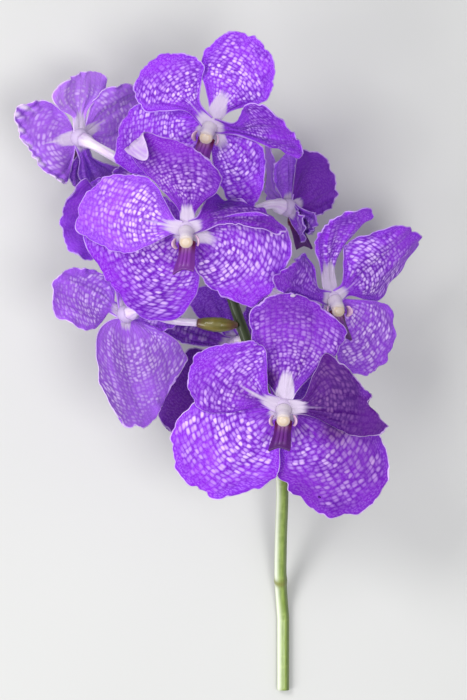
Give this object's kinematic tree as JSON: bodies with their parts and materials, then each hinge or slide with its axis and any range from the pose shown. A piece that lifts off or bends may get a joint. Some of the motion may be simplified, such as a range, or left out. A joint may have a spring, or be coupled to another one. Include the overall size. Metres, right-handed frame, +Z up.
{
  "type": "cut orchid flower spray",
  "caption": "Cut vanda orchid spray lying down: a curved green stem with stalked violet blooms, each with broad petals and sepals, a pale column and a dark lip.",
  "frame": {"origin": "centre of the bounding box on the surface that the spray lies on", "axes": "+Z up from the surface, +Y along the spray from the cut end to the tip, +X to the right seen from above"},
  "size_m": [0.178, 0.2882, 0.1135],
  "materials": {
    "petals": "satin violet petal, netted with darker veins and paler windows",
    "lip": "satin deep purple",
    "column": "waxy white and cream",
    "stalk": "waxy white flushed lilac, faintly ribbed",
    "stem": "satin yellow-green plant stem"
  },
  "bodies": {
    "root": {"stem": "stem", "left_sheath": "stem", "low_petals": "petals", "low_column": "column", "low_lip": "lip", "low_stalk": "stalk", "mid_petals": "petals", "mid_column": "column", "mid_lip": "lip", "mid_stalk": "stalk", "top_petals": "petals", "top_column": "column", "top_lip": "lip", "top_stalk": "stalk", "far_left_petals": "petals", "far_left_column": "column", "far_left_lip": "lip", "far_left_stalk": "stalk", "far_right_petals": "petals", "far_right_column": "column", "far_right_lip": "lip", "far_right_stalk": "stalk", "right_petals": "petals", "right_column": "column", "right_lip": "lip", "right_stalk": "stalk", "left_petals": "petals", "left_column": "column", "left_lip": "lip", "left_stalk": "stalk", "back_petals": "petals", "back_column": "column", "back_lip": "lip", "back_stalk": "stalk", "under_petals": "petals", "under_column": "column", "under_lip": "lip", "under_stalk": "stalk"}
  },
  "joints": []
}
